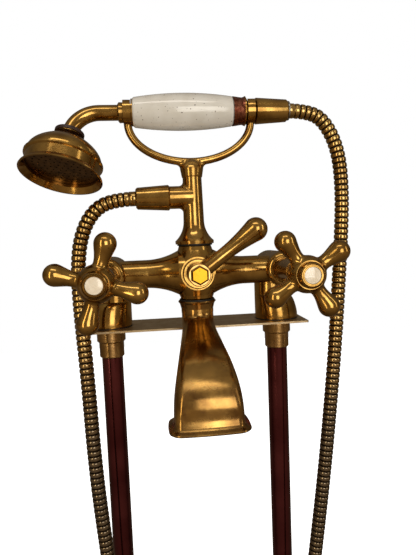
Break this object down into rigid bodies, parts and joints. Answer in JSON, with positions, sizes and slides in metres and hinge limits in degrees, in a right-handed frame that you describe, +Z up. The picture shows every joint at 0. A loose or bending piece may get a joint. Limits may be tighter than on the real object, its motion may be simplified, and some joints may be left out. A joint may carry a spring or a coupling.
{
  "type": "freestanding bath mixer",
  "caption": "Brass bath mixer on two floor-standing pipes, with cross handles, hooded spout, lever diverter and a porcelain-gripped hand shower in a cradle.",
  "frame": {"origin": "on the floor, midway between the axes of the two standpipes, at the centre of the four flange screw holes that lie in front of and behind the standpipes", "axes": "+Z up, +X to the right of someone facing the mixer, -Y towards that person, the way the spout points"},
  "size_m": [0.3193, 0.1938, 0.9267],
  "materials": {
    "polished_brass": "polished, slightly aged yellow brass",
    "brushed_brass": "turned brass with fine lines",
    "dark_copper": "dark toned copper tube",
    "copper": "worn copper",
    "hose_brass": "interlocked brass hose with dark grooves",
    "black_rubber": "black rubber",
    "porcelain": "glazed off-white porcelain, opaque",
    "white_enamel": "glazed white porcelain, opaque",
    "ceramic": "dense technical ceramic, opaque",
    "steel": "plain steel"
  },
  "bodies": {
    "mixer": {"bridge_plate": "polished_brass", "cartridge_seals": "black_rubber", "cold_headwork": "polished_brass", "cradle_yoke": "polished_brass", "diverter_gland": "polished_brass", "fixed_discs": "ceramic", "flange_grub_screws": "steel", "flange_seal_rings": "black_rubber", "hose_liner": "black_rubber", "hot_headwork": "polished_brass", "left_floor_flange": "polished_brass", "left_leg": "polished_brass", "left_standpipe": "dark_copper", "leg_gaskets": "black_rubber", "leg_seal_rings": "black_rubber", "mixer_body": "polished_brass", "pipe_gland_nuts": "brushed_brass", "pipe_olives": "brushed_brass", "plate_locknuts": "brushed_brass", "right_floor_flange": "polished_brass", "right_leg": "polished_brass", "right_standpipe": "dark_copper", "riser_tee": "polished_brass", "shower_hose": "hose_brass", "spout": "polished_brass", "tee_hose_nut": "polished_brass", "tee_hose_tail": "brushed_brass", "tee_hose_washer": "black_rubber", "union_nipples": "brushed_brass", "union_seals": "black_rubber", "yoke_grub_screw": "steel"},
    "hot_handle": {"hot_moving_disc": "ceramic", "hot_spindle": "brushed_brass", "hot_spindle_rings": "black_rubber", "hot_cross_handle": "polished_brass", "hot_handle_screw": "steel", "hot_index_bezel": "polished_brass", "hot_index_disc": "white_enamel"},
    "cold_handle": {"cold_moving_disc": "ceramic", "cold_spindle": "brushed_brass", "cold_spindle_rings": "black_rubber", "cold_cross_handle": "polished_brass", "cold_handle_screw": "steel", "cold_index_bezel": "polished_brass", "cold_index_disc": "white_enamel"},
    "diverter": {"diverter_core": "brushed_brass", "diverter_seal_ring": "black_rubber", "diverter_lever": "polished_brass", "lever_cap_screw": "polished_brass"},
    "handset": {"handset_neck": "polished_brass", "handset_stem_tube": "brushed_brass", "porcelain_grip": "porcelain", "grip_ferrule": "copper", "grip_end_piece": "polished_brass", "rose_washer": "black_rubber", "rose_shell": "polished_brass", "rose_plate": "brushed_brass", "grip_hose_nut": "polished_brass", "grip_hose_tail": "brushed_brass", "grip_hose_washer": "black_rubber"}
  },
  "joints": [
    {"name": "hot_handle_turn", "type": "hinge", "parent": "mixer", "child": "hot_handle", "pos_m": [-0.084, -0.1, 0.757], "axis": [0, -1, 0], "range_deg": [0, 90]},
    {"name": "cold_handle_turn", "type": "hinge", "parent": "mixer", "child": "cold_handle", "pos_m": [0.084, -0.1, 0.757], "axis": [0, 1, 0], "range_deg": [0, 90]},
    {"name": "diverter_turn", "type": "hinge", "parent": "mixer", "child": "diverter", "pos_m": [0, -0.081, 0.757], "axis": [0, -1, 0], "range_deg": [0, 90]},
    {"name": "handset_lift", "type": "slide", "parent": "mixer", "child": "handset", "axis": [0, 0, 1], "range_m": [0, 0.06]}
  ]
}
